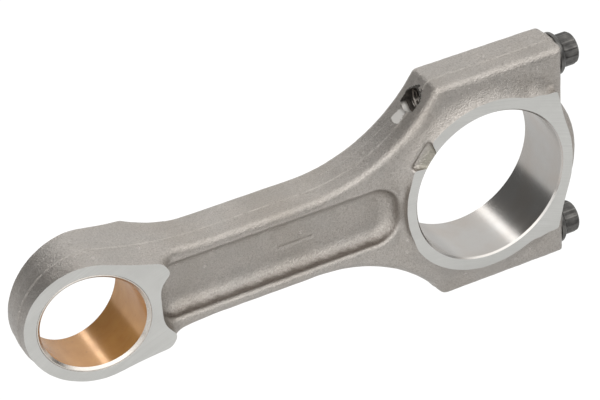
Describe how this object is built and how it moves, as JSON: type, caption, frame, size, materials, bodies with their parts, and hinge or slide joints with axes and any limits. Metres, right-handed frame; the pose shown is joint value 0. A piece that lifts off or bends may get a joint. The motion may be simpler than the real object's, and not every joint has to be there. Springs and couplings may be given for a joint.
{
  "type": "connecting rod",
  "caption": "Forged engine connecting rod with an I-section shank, a tapered bronze-bushed small end and a removable bolted big-end cap.",
  "frame": {"origin": "centre of the big-end bore, midway between its thrust faces", "axes": "+X along the rod from the small end to the cap, +Y along the bores to the back face, +Z from the lower bolt to the upper bolt"},
  "size_m": [0.1979, 0.0282, 0.0808],
  "materials": {
    "forged_steel": "shot-blasted forging, machined on the bores and side faces",
    "bronze": "bored bronze",
    "black_steel": "black oxide with a light oil sheen"
  },
  "bodies": {
    "rod": {"rod_body": "forged_steel", "small_end_bush": "bronze"},
    "cap": {"rod_cap": "forged_steel"},
    "bolt_upper": {"cap_bolt_upper": "black_steel"},
    "bolt_lower": {"cap_bolt_lower": "black_steel"}
  },
  "joints": [
    {"name": "cap_lift_off", "type": "slide", "parent": "rod", "child": "cap", "axis": [1, 0, 0], "range_m": [0, 0.06]},
    {"name": "bolt_upper_withdraw", "type": "slide", "parent": "cap", "child": "bolt_upper", "axis": [1, 0, 0], "range_m": [0, 0.055]},
    {"name": "bolt_lower_withdraw", "type": "slide", "parent": "cap", "child": "bolt_lower", "axis": [1, 0, 0], "range_m": [0, 0.055]}
  ]
}
